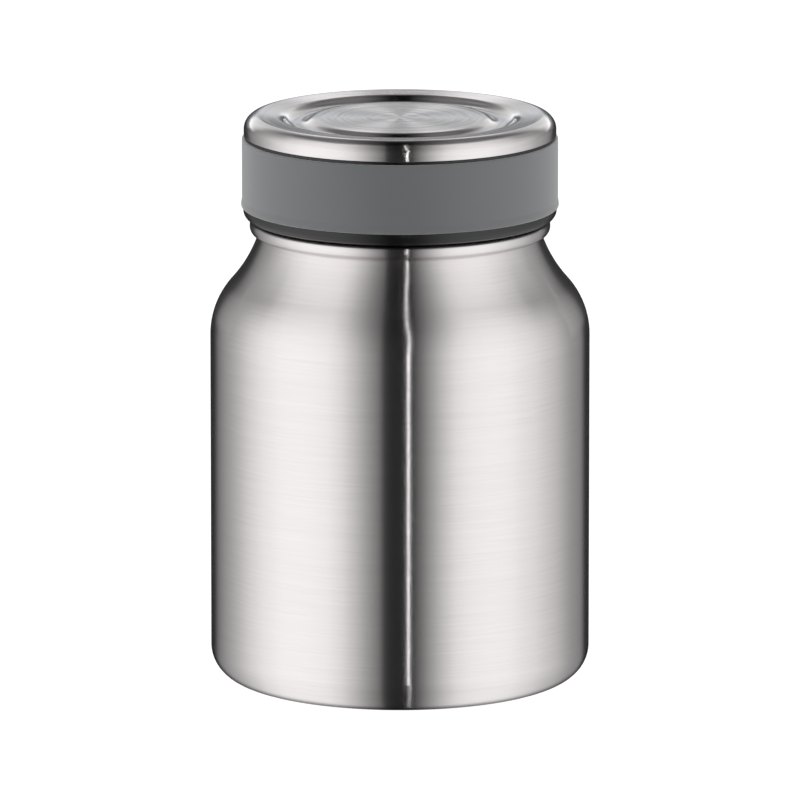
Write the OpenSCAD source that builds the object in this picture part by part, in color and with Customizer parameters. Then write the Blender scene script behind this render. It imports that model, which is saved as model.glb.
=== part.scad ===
// Insulated food jar: a double-walled steel vessel with a wide mouth, and a screw-on lid
// with a soft grip band. Millimetres. The jar stands on z = 0 with its axis on z.
// Every formed sheet is drawn as a line that can be moved inwards by a depth d, so that
// d = 0 is one face of the sheet and d = its thickness is the other.

/* [Body] */
// Outer diameter of the straight wall
body_d = 94.5; // [84:0.5:120]
// Thickness of the outer steel
wall_t = 0.6; // [0.4:0.1:0.8]
// Radius of the bottom corner
corner_r = 8.2; // [6:0.1:12]
// Height at which the straight wall ends and the shoulder starts
shoulder_z = 87.1; // [70:0.1:140]
// Radius of the rounded shoulder
shoulder_r = 19.8; // [16:0.1:24]
// Steepest lean of the shoulder, in degrees from upright
shoulder_a = 41.7; // [36:0.1:46]
// Radius of the hollow between shoulder and neck
hollow_r = 34.2; // [30:0.1:40]
// Lean of the hollow where it meets the bead, in degrees from upright
groove_a = 18.2; // [14:0.1:24]

/* [Neck] */
// How far the bead stands out of the groove under it
bead_out = 2.1; // [1.8:0.1:2.5]
// Height of the bead above the groove
bead_h = 3.7; // [3.5:0.1:5]
// Radius of the bead's upper edge
bead_top_r = 1.2; // [1:0.1:1.4]
// How far the neck is set in from the groove
neck_step = 1.3; // [1:0.1:2.5]
// Radius between the bead and the neck
neck_fillet = 0.8; // [0.4:0.1:1]
// Height of the neck above the bead
neck_h = 15.9; // [14:0.1:24]

/* [Foot] */
// Width of the flat ring that the jar stands on
foot_w = 2.55; // [1:0.05:8]
// Height of the recess
recess_h = 3; // [2.5:0.1:5]
// Radius of the foot's inner edge
foot_edge_r = 1; // [0.9:0.1:1.4]
// Radius between the recess wall and its panel
panel_fillet = 0.6; // [0.4:0.1:1]
// Radius of the dimple that holds the seal
dimple_r = 5; // [4:0.5:8]
// Depth of the dimple
dimple_h = 1.2; // [1.1:0.1:2]
// Radius of the pumping hole
pump_hole_r = 1; // [0.5:0.1:1.5]
// Thickness of the glass seal
seal_t = 1; // [0.5:0.1:1.1]
// Thickness of the cover disc
base_cover_t = 0.5; // [0.3:0.1:0.8]

/* [Food vessel] */
// Width of the vacuum space round the vessel
vacuum_w = 5; // [3:0.1:6]
// Width of the vacuum space at the neck
neck_vacuum_w = 0.9; // [0.6:0.1:1.5]
// Height of the vacuum space under the vessel
vacuum_h = 5.4; // [5:0.1:10]
// Thickness of the vessel's steel
liner_t = 0.5; // [0.4:0.1:0.8]
// Radius of the vessel's bottom corner
liner_corner_r = 9; // [5:0.1:14]
// How far below the body's shoulder the vessel's shoulder starts
liner_shoulder_drop = 3; // [0:0.1:6]
// Radius under the lip of the mouth
lip_fillet = 0.6; // [0.3:0.1:0.8]
// Thickness of the copper foil as drawn
foil_t = 0.2; // [0.1:0.05:0.4]
// Bare wall left above and below the foil
foil_margin = 2; // [0.5:0.5:6]

/* [Getter] */
// Distance of the getter from the axis
getter_x = 20; // [15:0.5:24]
// Radius of the getter pill
getter_r = 5; // [3:0.5:6]
// Thickness of the getter pill
getter_h = 2; // [1:0.1:3]
// Width of the strap over the pill
clip_w = 5; // [3:0.5:8]
// Thickness of the strap
clip_t = 0.4; // [0.2:0.1:0.6]
// Length of each of the strap's feet
clip_foot = 3; // [2:0.5:4]

/* [Thread] */
// Rise of the thread in one turn
lead = 6; // [5.5:0.1:6.5]
// Turns of the ridge on the neck
neck_turns = 1.15; // [0.5:0.05:1.25]
// Turns of the ridge in the lid
lid_turns = 1; // [0.5:0.05:1.2]
// Height of the ridge on the neck
thread_h = 1.2; // [0.8:0.1:1.5]
// Half of the ridge's width at its root
thread_root = 1.3; // [1.2:0.05:1.4]
// Half of the ridge's width at its crest
thread_crest = 0.6; // [0.4:0.05:0.7]
// Height of the middle of the neck's ridge above the bead, where it starts
thread_start = 4.4; // [4.1:0.1:5]
// Angle from +X at which both ridges start
thread_start_a = 8; // [0:1:90]
// Least clearance between the two ridges, along the axis
thread_gap = 0.3; // [0.2:0.05:0.5]
// Clearance between a ridge's crest and the wall that it faces
crest_gap = 0.4; // [0.3:0.05:0.6]

/* [Lid] */
// Space inside the lid outside the neck's ridge
thread_room = 1; // [0.7:0.1:1.5]
// Wall of the screw cap behind the grip band
lid_wall = 1.7; // [1.5:0.1:3]
// Gap between the bead and the lid's lower edge
skirt_gap = 0.3; // [0.3:0.1:1]
// Height of the skirt below the grip band
skirt_h = 3.2; // [3:0.1:6]
// How far the skirt stands out under the grip band
skirt_out = 1.1; // [0.8:0.1:1.3]
// Radius of the skirt's lower edge
skirt_edge_r = 2.3; // [1.5:0.1:2.5]
// Thickness of the screw cap's plate
plate_t = 2; // [1.5:0.1:3]
// Height of the grip band's upper edge above the plate
band_rise = 0.55; // [0.3:0.05:1.5]
// Thickness of the grip band
band_t = 1.3; // [1.1:0.1:2]
// How far the grip band's lower lip stands out
band_lip = 0.2; // [0.1:0.05:0.5]
// Height of the grip band's lower lip
band_lip_h = 2; // [1:0.1:4]
// Height of the collar between grip band and steel cap
collar_h = 0.65; // [0.3:0.05:1]
// Thickness of the sealing ring
gasket_t = 2.3; // [1.5:0.1:4]
// Depth to which the plug reaches below the rim of the mouth
plug_depth = 14; // [8:0.5:16]
// Wall of the plug
plug_t = 1.6; // [1:0.1:2.5]
// Radius of the plug's lower corner
plug_corner_r = 3; // [2.6:0.1:6]
// Clearance between plug and mouth
plug_gap = 0.8; // [0.5:0.1:1.5]

/* [Steel cap] */
// Height of the steel cap
cover_h = 5; // [4.8:0.1:8]
// Thickness of the cap's steel
cover_t = 0.5; // [0.4:0.1:0.6]
// How far the grip band stands out of the cap
cover_inset = 0.45; // [0.2:0.05:0.6]
// Radius of the cap's rim
cover_rim_r = 3.5; // [2.5:0.1:3.8]
// Width of the flat rim, outside the ring groove
rim_w = 4.8; // [3.5:0.1:6.5]
// Fall of the rim towards the groove
rim_fall = 0.3; // [0:0.05:0.5]
// Width of the groove's outer wall
groove_out_w = 4; // [3:0.1:5]
// Width of the groove's floor
groove_floor_w = 1.8; // [0.5:0.1:3]
// Width of the groove's inner wall
groove_in_w = 3.6; // [3:0.1:5]
// Depth of the groove below the rim
groove_depth = 1.8; // [1.4:0.1:2.4]
// How far the centre lies below the rim
centre_drop = 0.7; // [0.2:0.1:1.2]
// Thickness of the ring that bonds the cap
bond_t = 0.6; // [0.3:0.1:1]
// Width of the ring that bonds the cap
bond_w = 4; // [2:0.1:5]

/* [Hidden] */

$fn = 96;
// Straight pieces in one arc of a formed sheet
arc_steps = 10;
// Clearance between pieces that are wrapped round or stretched over each other
wrap_gap = 0.1;
// Clearance between pieces that drop into each other
slip_gap = 0.3;

// Shoulder and groove
body_r = body_d / 2;
shoulder_centre = [body_r - shoulder_r, shoulder_z];
hollow_centre = shoulder_centre + (shoulder_r + hollow_r) * [cos(shoulder_a), sin(shoulder_a)];
groove = hollow_centre - hollow_r * [cos(groove_a), sin(groove_a)];
bead_r = groove[0] + bead_out;
bead_z = groove[1] + bead_h;
neck_r = groove[0] - neck_step;
rim_z = bead_z + neck_h;

// Bottom
seam_z = corner_r;
recess_r = body_r - corner_r - foot_w - foot_edge_r;
panel_in_z = recess_h + wall_t;
dimple_in_r = dimple_r + dimple_h;

// Food vessel
liner_r = body_r - wall_t - vacuum_w;
liner_z = panel_in_z + vacuum_h;
liner_seam_z = liner_z + liner_corner_r;
mouth_out_r = neck_r - wall_t - neck_vacuum_w;
mouth_r = mouth_out_r - liner_t;
liner_shoulder_z = shoulder_z - liner_shoulder_drop;
liner_neck_z = groove[1];

// Lid, outwards from the neck and upwards from the skirt's lower edge
lid_in_r = neck_r + thread_h + thread_room;
seat_r = lid_in_r + lid_wall;
skirt_r = seat_r + skirt_out;
band_in_r = seat_r + wrap_gap;
band_r = band_in_r + band_t;
cover_r = band_r - cover_inset;
cover_seat_r = cover_r - cover_t - wrap_gap;
collar_r = cover_r - wrap_gap;
skirt_z = bead_z + skirt_gap;
band_z = skirt_z + skirt_h;
plate_z = rim_z + gasket_t;
plate_top_z = plate_z + plate_t;
band_top_z = plate_top_z + band_rise;
cover_z = band_top_z + collar_h;
top_z = cover_z + cover_h;
// The screw cap's upper wall ends below the rounded rim of the steel cap
shell_top_z = top_z - cover_rim_r - slip_gap;
shell_top_w = 1.6;

// Plug and seal
plug_r = mouth_r - plug_gap;
plug_z = rim_z - plug_depth;
gasket_in_r = plug_r + slip_gap;
gasket_out_r = neck_r;
gasket_edge = 0.3;

// Ring groove of the steel cap, from the rim inwards
rim_in_r = cover_r - cover_rim_r - rim_w;
groove_out_r = rim_in_r - groove_out_w;
groove_in_r = groove_out_r - groove_floor_w;
centre_r = groove_in_r - groove_in_w;
rim_in_z = top_z - rim_fall;
groove_z = top_z - groove_depth;
centre_z = top_z - centre_drop;
bond_z = groove_z - cover_t - bond_t;
bond_r = (groove_out_r + groove_in_r) / 2;

// Thread
// Distance from the middle of the neck's ridge down to the middle of the lid's ridge
thread_drop = thread_root + thread_crest + thread_gap;
lid_crest_r = neck_r + crest_gap;
// Degrees between two sections of a ridge, and over which its ends run out
thread_step = 10;
thread_runout = 25;
// How far a ridge's root lies inside its wall
thread_sunk = 0.35;

// Points on an arc round c, from angle a0 to angle a1
function arc(c, r, a0, a1) = [
    for (i = [0:arc_steps])
        let (a = a0 + (a1 - a0) * i / arc_steps)
        c + r * [cos(a), sin(a)]
];

function reversed(line) = [for (i = [len(line) - 1:-1:0]) line[i]];

// Radius and angle of two equal arcs that make a smooth step `along` long and `across` wide
function step_r(along, across) = (along * along + across * across) / (4 * across);
function step_a(along, across) = asin(along / (2 * step_r(along, across)));

// A sheet turned round the axis, between its two faces
module turned_sheet(face, back) {
    rotate_extrude() polygon(concat(face, reversed(back)));
}

// A ring of rectangular section
module ring(r_in, r_out, z0, z1) {
    rotate_extrude() translate([r_in, z0]) square([r_out - r_in, z1 - z0]);
}

// Body ------------------------------------------------------------------------------

function shell_line(d) = concat(
    [[body_r - d, seam_z]],
    arc(shoulder_centre, shoulder_r - d, 0, shoulder_a),
    arc(hollow_centre, hollow_r + d, 180 + shoulder_a, 180 + groove_a),
    d > 0 ? arc(groove, d, 180 + groove_a, 90) : [],
    arc(groove + [0, bead_out], bead_out - d, -90, 0),
    arc([bead_r - bead_top_r, bead_z - bead_top_r], bead_top_r - d, 0, 90),
    arc([neck_r + neck_fillet, bead_z + neck_fillet], neck_fillet + d, 270, 180),
    [[neck_r - d, rim_z - liner_t]]
);

function bottom_line(d) = concat(
    arc([body_r - corner_r, corner_r], corner_r - d, 0, -90),
    arc([recess_r + foot_edge_r, foot_edge_r], foot_edge_r - d, -90, -180),
    arc([recess_r - panel_fillet, recess_h - panel_fillet], panel_fillet + d, 0, 90),
    [
        [dimple_in_r, recess_h + d],
        [dimple_r, recess_h + dimple_h + d],
        [pump_hole_r, recess_h + dimple_h + d]
    ]
);

module outer_shell() {
    color("silver") {
        turned_sheet(shell_line(0), shell_line(wall_t));
        thread(neck_r - thread_sunk, neck_r + thread_h, neck_turns, bead_z + thread_start);
    }
}

module outer_bottom() {
    color("silver") turned_sheet(bottom_line(0), bottom_line(wall_t));
}

module base_cover() {
    color("lightgrey")
        translate([0, 0, recess_h - base_cover_t])
        cylinder(h = base_cover_t, r = recess_r - panel_fillet - slip_gap);
}

module vacuum_seal() {
    color("darkslategrey")
        translate([0, 0, recess_h + dimple_h - seal_t])
        cylinder(h = seal_t, r1 = dimple_r - seal_t, r2 = dimple_r - slip_gap);
}

module getter() {
    color("dimgrey") translate([getter_x, 0, panel_in_z]) cylinder(h = getter_h, r = getter_r);
}

module getter_clip() {
    leg_y = getter_r + wrap_gap;
    color("gainsboro") translate([getter_x - clip_w / 2, 0, panel_in_z]) {
        translate([0, -leg_y - clip_t, getter_h]) cube([clip_w, 2 * (leg_y + clip_t), clip_t]);
        for (side = [0, 1]) mirror([0, side, 0]) {
            translate([0, leg_y, 0]) cube([clip_w, clip_t, getter_h]);
            translate([0, leg_y, 0]) cube([clip_w, clip_t + clip_foot, clip_t]);
        }
    }
}

// Food vessel -------------------------------------------------------------------------

function liner_line(d) =
    let (
        along = liner_neck_z - liner_shoulder_z,
        across = liner_r - mouth_out_r,
        r = step_r(along, across),
        a = step_a(along, across)
    )
    concat(
        [[liner_r - d, liner_seam_z]],
        arc([liner_r - r, liner_shoulder_z], r - d, 0, a),
        arc([mouth_out_r + r, liner_neck_z], r + d, 180 + a, 180),
        arc(
            [mouth_out_r + lip_fillet, rim_z - liner_t - lip_fillet],
            lip_fillet + d, 180, 90
        ),
        [[neck_r, rim_z - liner_t + d]]
    );

function liner_bottom_line(d) = concat(
    arc([liner_r - liner_corner_r, liner_seam_z], liner_corner_r - d, 0, -90),
    [[0, liner_z + d]]
);

module inner_liner() {
    color("whitesmoke") turned_sheet(liner_line(0), liner_line(liner_t));
}

module liner_bottom() {
    color("whitesmoke") turned_sheet(liner_bottom_line(0), liner_bottom_line(liner_t));
}

module radiation_foil() {
    foil_in_r = liner_r + wrap_gap;
    color("chocolate") ring(
        foil_in_r, foil_in_r + foil_t,
        liner_seam_z + foil_margin, liner_shoulder_z - foil_margin
    );
}

// Thread --------------------------------------------------------------------------------

// A right-handed ridge that starts `z` high, between a root and a crest radius, and runs
// out into its wall at both ends
module thread(root, crest, turns, z) {
    sweep = 360 * turns;
    steps = ceil(sweep / thread_step);
    rings = [
        for (i = [0:steps])
            let (
                a = sweep * i / steps,
                grown = min(1, 0.05 + min(a, sweep - a) / thread_runout),
                tip = root + (crest - root) * grown,
                middle = z + lead * a / 360,
                section = [
                    [root, -thread_root], [tip, -thread_crest],
                    [tip, thread_crest], [root, thread_root]
                ]
            )
            for (p = section) [p[0] * cos(a), p[0] * sin(a), middle + p[1]]
    ];
    sides = [
        for (i = [0:steps - 1])
            for (k = [0:3])
                let (n = (k + 1) % 4)
                each [
                    [4 * i + k, 4 * i + n, 4 * i + 4 + n],
                    [4 * i + k, 4 * i + 4 + n, 4 * i + 4 + k]
                ]
    ];
    ends = [[3, 2, 1, 0], [for (k = [0:3]) 4 * steps + k]];
    // A ridge inside a wall has its crest nearer the axis, which turns its faces round
    inside = crest < root;
    faces = concat(sides, ends);
    rotate(thread_start_a) polyhedron(points = rings, faces = inside ? [for (f = faces) reversed(f)] : faces);
}

// Lid -------------------------------------------------------------------------------------

module lid_shell() {
    chamfer = 0.4;
    edge_r = min(skirt_edge_r, skirt_r - lid_in_r - chamfer);
    section = concat(
        [[lid_in_r + chamfer, skirt_z]],
        arc([skirt_r - edge_r, skirt_z + edge_r], edge_r, -90, 0),
        [
            [skirt_r, band_z], [seat_r, band_z],
            [seat_r, band_top_z], [collar_r, band_top_z],
            [collar_r, cover_z], [cover_seat_r, cover_z],
            [cover_seat_r, shell_top_z], [cover_seat_r - shell_top_w, shell_top_z],
            [cover_seat_r - shell_top_w, plate_top_z],
            [bond_r + bond_w / 2, plate_top_z], [bond_r + bond_w / 2, bond_z],
            [bond_r - bond_w / 2, bond_z], [bond_r - bond_w / 2, plate_top_z],
            [0, plate_top_z], [0, plate_z],
            [lid_in_r, plate_z], [lid_in_r, skirt_z + chamfer]
        ]
    );
    color([0.12, 0.12, 0.13]) {
        rotate_extrude() polygon(section);
        thread(
            lid_in_r + thread_sunk, lid_crest_r, lid_turns,
            bead_z + thread_start - thread_drop
        );
    }
}

module grip_band() {
    edge = 0.4;
    color([0.42, 0.43, 0.44]) rotate_extrude() polygon(concat(
        [
            [band_in_r, band_z], [band_r + band_lip - edge, band_z],
            [band_r + band_lip, band_z + edge], [band_r + band_lip, band_z + band_lip_h / 2],
            [band_r, band_z + band_lip_h]
        ],
        arc([band_r - edge, band_top_z - edge], edge, 0, 90),
        [[band_in_r, band_top_z]]
    ));
}

function cover_line(d) =
    let (
        out_along = groove_out_w,
        out_across = rim_in_z - groove_z,
        out_r = step_r(out_along, out_across),
        out_a = step_a(out_along, out_across),
        in_along = groove_in_w,
        in_across = centre_z - groove_z,
        in_r = step_r(in_along, in_across),
        in_a = step_a(in_along, in_across)
    )
    concat(
        [[cover_r - d, cover_z]],
        arc([cover_r - cover_rim_r, top_z - cover_rim_r], cover_rim_r - d, 0, 90),
        arc([rim_in_r, rim_in_z - out_r], out_r - d, 90, 90 + out_a),
        arc([groove_out_r, groove_z + out_r], out_r + d, out_a - 90, -90),
        arc([groove_in_r, groove_z + in_r], in_r + d, -90, -90 - in_a),
        arc([centre_r, centre_z - in_r], in_r - d, 90 - in_a, 90),
        [[0, centre_z - d]]
    );

module lid_cover() {
    color("silver") turned_sheet(cover_line(0), cover_line(cover_t));
}

module bonding_ring() {
    color("white") ring(bond_r - bond_w / 2, bond_r + bond_w / 2, bond_z, bond_z + bond_t);
}

function plug_line(d) = concat(
    [[plug_r - d, plate_z]],
    arc([plug_r - plug_corner_r, plug_z + plug_corner_r], plug_corner_r - d, 0, -90),
    [[0, plug_z + d]]
);

module lid_plug() {
    color([0.2, 0.2, 0.21]) turned_sheet(plug_line(0), plug_line(plug_t));
}

module lid_foam() {
    floor_r = plug_r - plug_corner_r;
    core_r = plug_r - plug_t - wrap_gap;
    core_corner_z = plug_z + plug_corner_r;
    color("ivory") rotate_extrude() polygon([
        [0, plug_z + plug_t], [floor_r, plug_z + plug_t],
        [core_r, core_corner_z], [core_r, plate_z], [0, plate_z]
    ]);
}

module lid_gasket() {
    color("gainsboro") rotate_extrude() polygon([
        [gasket_in_r + gasket_edge, rim_z], [gasket_out_r - gasket_edge, rim_z],
        [gasket_out_r, rim_z + gasket_edge], [gasket_out_r, plate_z],
        [gasket_in_r, plate_z], [gasket_in_r, rim_z + gasket_edge]
    ]);
}

outer_shell();
outer_bottom();
base_cover();
vacuum_seal();
getter();
getter_clip();
inner_liner();
liner_bottom();
radiation_foil();
lid_gasket();
lid_shell();
lid_plug();
lid_foam();
bonding_ring();
lid_cover();
grip_band();
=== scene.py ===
"""Insulated food jar: a double-walled steel jar with a screw-on lid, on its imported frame.

Every length in the classes is in millimetres, but for names that end in _m. Sections are drawn
in the XZ plane and spun about Z, the axis of the jar.
"""

import logging
import math
from dataclasses import dataclass
from enum import Enum
from typing import Any, Callable

import bmesh
import bpy
from mathutils import Matrix, Vector


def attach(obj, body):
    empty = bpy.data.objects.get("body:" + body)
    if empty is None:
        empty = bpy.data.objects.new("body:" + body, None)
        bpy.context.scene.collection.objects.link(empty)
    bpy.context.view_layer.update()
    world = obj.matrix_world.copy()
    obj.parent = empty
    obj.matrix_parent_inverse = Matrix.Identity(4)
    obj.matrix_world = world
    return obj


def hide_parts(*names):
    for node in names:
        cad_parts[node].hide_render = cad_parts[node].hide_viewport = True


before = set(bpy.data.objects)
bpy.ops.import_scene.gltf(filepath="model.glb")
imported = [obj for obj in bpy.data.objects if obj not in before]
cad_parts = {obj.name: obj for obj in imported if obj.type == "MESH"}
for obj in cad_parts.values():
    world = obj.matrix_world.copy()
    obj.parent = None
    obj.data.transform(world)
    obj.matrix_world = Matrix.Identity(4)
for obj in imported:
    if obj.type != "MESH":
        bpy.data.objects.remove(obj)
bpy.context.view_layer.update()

LOG = logging.getLogger("food_jar")

MM = 0.001
TURN_STEPS = 256  # flats round the axis
DOUBLINGS = 4  # how often the spun sector is doubled to fill the turn
ARC_STEP_DEG = 6.0
ARC_STEP_MM = 0.8
HOLD = 0.25  # mm of straight edge at each end of a run, which holds its shading
HELD_RUN = 4  # a run shorter than this many of them gets none
EASE_STEPS = 3
WELD = 1e-7
SHARP_DEG = 32.0
PROFILE = "profile_mm"  # the attribute with the length along a section
CLOUD = 0.6  # roughness of the noise that the brushing is made of

Point = tuple[float, float]
Colour = tuple[float, float, float, float]
# A value of the light, such as a level or a lean, after its place, such as an angle.
LightStop = tuple[float, float]
Socket = bpy.types.NodeSocket
Material = bpy.types.Material
Node = bpy.types.Node
NodeTree = bpy.types.NodeTree
Vertex = bmesh.types.BMVert
Mesh = bmesh.types.BMesh


class Body(Enum):
    """The moving bodies of the jar."""

    JAR = "jar"
    SEAL = "seal_carrier"
    LID = "lid"


class Slot(Enum):
    """The material slots of the jar's record."""

    BODY_STEEL = "brushed_body_steel"
    CAP_STEEL = "brushed_cap_steel"
    BASE_STEEL = "base_steel"
    LINER_STEEL = "polished_liner_steel"
    GASKET = "gasket_silicone"
    LID_PLASTIC = "lid_plastic"
    PLUG_PLASTIC = "plug_plastic"
    BAND = "band_silicone"


# ---------------------------------------------------------------- helpers


def linear(hex_colour: str) -> Colour:
    """Turns an sRGB hex colour into linear RGBA.

    Args:
        hex_colour: Six hex digits with a leading #.

    Returns:
        The linear colour with an alpha of 1.
    """
    channels = [int(hex_colour[i:i + 2], 16) / 255 for i in (1, 3, 5)]
    red, green, blue = (c / 12.92 if c <= 0.04045 else ((c + 0.055) / 1.055) ** 2.4
                        for c in channels)
    return (red, green, blue, 1.0)


def add_node(tree: NodeTree, kind: str, inputs: dict[Any, Any] | None = None,
             **settings: Any) -> Node:
    """Adds a node with its settings, values and links.

    Args:
        tree: The node tree that gets the node.
        kind: The node's type name, without "ShaderNode".
        inputs: For each input, by name or number, a value, an output socket, or a node whose
            first output is linked.
        **settings: The node's own properties.

    Returns:
        The new node.
    """
    node = tree.nodes.new("ShaderNode" + kind)
    for name, value in settings.items():
        setattr(node, name, value)
    for socket, value in (inputs or {}).items():
        if isinstance(value, Node):
            tree.links.new(value.outputs[0], node.inputs[socket])
        elif isinstance(value, Socket):
            tree.links.new(value, node.inputs[socket])
        else:
            node.inputs[socket].default_value = value
    return node


def cleared_tree(owner: Material | bpy.types.World) -> NodeTree:
    """Turns nodes on and takes out the ones that come with them.

    Args:
        owner: The material or the world.

    Returns:
        Its empty node tree.
    """
    owner.use_nodes = True
    owner.node_tree.nodes.clear()
    return owner.node_tree


def polar(centre: Point, radius: float, degrees: float) -> Point:
    """The point at that distance and angle from a centre."""
    angle = math.radians(degrees)
    return (centre[0] + radius * math.cos(angle), centre[1] + radius * math.sin(angle))


def double_bend(along: float, across: float) -> Point:
    """The two equal arcs that lead from one line to another beside it.

    Args:
        along: The length over which they do so.
        across: The distance between the lines.

    Returns:
        The arcs' radius, and the angle in degrees that each turns through.
    """
    radius = (along ** 2 + across ** 2) / (4 * across)
    return (radius, math.degrees(math.asin(along / (2 * radius))))


def smooth(value: float) -> float:
    """Eases a share from 0 to 1 with a level start and end."""
    share = min(1.0, max(0.0, value))
    return share * share * (3 - 2 * share)


class Section:
    """The cross-section of a turned wall, drawn as wire with a pen and then spun."""

    def __init__(self, sense: float = 1.0) -> None:
        """Starts with an empty wire.

        Args:
            sense: 1 or -1, the sign of the length along the section.
        """
        self.wire = bmesh.new()
        self.lengths = self.wire.verts.layers.float.new(PROFILE)
        self.sense = sense
        self.first: Vertex | None = None
        self.tip: Vertex | None = None
        self.walked = 0.0
        self.ends: list[tuple[Vertex, Vertex]] = []
        self.corners: dict[float, list[Vertex]] = {}

    def start(self, point: Point) -> "Section":
        """Puts the pen down for a new stroke.

        Args:
            point: Where the stroke starts.

        Returns:
            The section.
        """
        self.lift()
        self.first = self.tip = self.wire.verts.new((point[0] * MM, 0.0, point[1] * MM))
        self.walked = 0.0
        return self

    def lift(self) -> "Section":
        """Ends the stroke that is being drawn.

        Returns:
            The section.
        """
        if self.tip is not None:
            self.ends.append((self.first, self.tip))
        self.tip = None
        return self

    def _step(self, end: Vector) -> None:
        """Draws one straight edge from the tip.

        Args:
            end: The edge's end, in metres.
        """
        length = (end - self.tip.co).length
        made = bmesh.ops.extrude_vert_indiv(self.wire, verts=[self.tip])
        self.tip = made["verts"][0]
        self.tip.co = end
        self.walked += length / MM
        self.tip[self.lengths] = self.walked * self.sense

    def to(self, *points: Point, ease: float = 0.0, pitch: float = 0.0) -> "Section":
        """Draws straight runs, with a short edge at each end that holds the shading.

        Args:
            *points: The ends of the runs.
            ease: The radius to which the corner at each of the points is eased.
            pitch: The spacing of rings along the runs, or 0 for none.

        Returns:
            The section.
        """
        for point in points:
            start = self.tip.co.copy()
            end = Vector((point[0] * MM, 0.0, point[1] * MM))
            run = end - start
            if run.length < WELD:
                continue
            stops = [0.0, 1.0]
            if run.length > HELD_RUN * (HOLD + ease) * MM:
                held = (HOLD + ease) * MM / run.length
                stops = [0.0, held, 1 - held, 1.0]
            if pitch:
                count = max(1, round(run.length / (pitch * MM)))
                stops = [i / count for i in range(count + 1)]
            for stop in stops[1:]:
                self._step(start + run * stop)
            if ease:
                self.corners.setdefault(ease, []).append(self.tip)
        return self

    def arc(self, centre: Point, radius: float, start: float, end: float) -> "Section":
        """Draws an arc, with a straight run to its start where the pen isn't there.

        Args:
            centre: The arc's centre.
            radius: Its radius.
            start: The angle in degrees at which it starts, from the outward direction.
            end: The angle at which it ends.

        Returns:
            The section.
        """
        self.to(polar(centre, radius, start))
        sweep = math.radians(end - start)
        steps = max(2, math.ceil(abs(end - start) / ARC_STEP_DEG),
                    math.ceil(abs(sweep) * radius / ARC_STEP_MM))
        before, drawn = self.tip, set(self.wire.verts)
        made = bmesh.ops.spin(
            self.wire, geom=[self.tip], cent=(centre[0] * MM, 0.0, centre[1] * MM), axis=(0, -1, 0),
            dvec=(0, 0, 0), angle=sweep, steps=steps, use_merge=False, use_normal_flip=False,
            use_duplicate=False)
        self.tip = next(v for v in made["geom_last"] if isinstance(v, Vertex))
        self._measure(before, drawn, abs(sweep) * radius / steps)
        return self

    def _measure(self, vertex: Vertex, drawn: set[Vertex], step: float) -> None:
        """Writes the length along the section on the new vertices up to the tip.

        Args:
            vertex: The last vertex that has its length.
            drawn: The vertices that were there before.
            step: The length of each new edge.
        """
        while vertex != self.tip:
            others = (edge.other_vert(vertex) for edge in vertex.link_edges)
            vertex = next(other for other in others if other not in drawn)
            drawn.add(vertex)
            self.walked += step
            vertex[self.lengths] = self.walked * self.sense

    def turn(self) -> Mesh:
        """Joins the strokes where they aren't on the axis, eases the corners and spins the wire.

        The wire is spun through one sector, which is then doubled until it fills the turn.

        Returns:
            The turned solid, with its faces outwards.
        """
        self.lift()
        pairs = self.ends if len(self.ends) == 1 else zip(*self.ends)
        for one, other in pairs:
            if one.co.x > WELD or other.co.x > WELD:
                self.wire.edges.new((one, other))
        for ease, corners in self.corners.items():
            bmesh.ops.bevel(
                self.wire, geom=corners, offset=ease * MM, offset_type="OFFSET",
                segments=EASE_STEPS, profile=0.5, affect="VERTICES", material=-1)
        sector = math.tau / 2 ** DOUBLINGS
        bmesh.ops.spin(
            self.wire, geom=self.wire.verts[:] + self.wire.edges[:], cent=(0, 0, 0),
            axis=(0, 0, 1), dvec=(0, 0, 0), angle=sector, steps=TURN_STEPS // 2 ** DOUBLINGS,
            use_merge=False, use_normal_flip=False, use_duplicate=False)
        for doubling in range(DOUBLINGS):
            made = bmesh.ops.duplicate(
                self.wire, geom=self.wire.verts[:] + self.wire.edges[:] + self.wire.faces[:])
            bmesh.ops.rotate(
                self.wire, verts=[v for v in made["geom"] if isinstance(v, Vertex)],
                cent=(0, 0, 0), matrix=Matrix.Rotation(sector * 2 ** doubling, 3, "Z"))
        bmesh.ops.remove_doubles(self.wire, verts=self.wire.verts, dist=WELD)
        bmesh.ops.recalc_face_normals(self.wire, faces=self.wire.faces)
        return self.wire


def turned_sheet(line: Callable[[Section, float], None], wall: float, sense: float = 1.0) -> Mesh:
    """Turns a piece of sheet, whose two faces follow one line.

    Args:
        line: Draws the line at a depth below the outer face.
        wall: The sheet's thickness.
        sense: The sign of the length along the section.

    Returns:
        The turned sheet.
    """
    section = Section(sense)
    line(section, 0.0)
    line(section, wall)
    return section.turn()


def place(name: str, solid: Mesh, body: Body, node: str) -> bpy.types.Object:
    """Makes a piece of a solid, in the place of its CAD node.

    Args:
        name: The piece's name.
        solid: Its mesh, in metres, which is used up.
        body: The body that it rides on.
        node: The CAD node that it stands for.

    Returns:
        The piece's object.
    """
    mesh = bpy.data.meshes.new(name)
    solid.to_mesh(mesh)
    solid.free()
    mesh.shade_smooth()
    mesh.set_sharp_from_angle(angle=math.radians(SHARP_DEG))
    piece = bpy.data.objects.new(name, mesh)
    bpy.context.scene.collection.objects.link(piece)
    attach(piece, body.value)
    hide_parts(node)
    LOG.info("%s: %d faces, rides on %s", name, len(mesh.polygons), body.value)
    return piece


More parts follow.
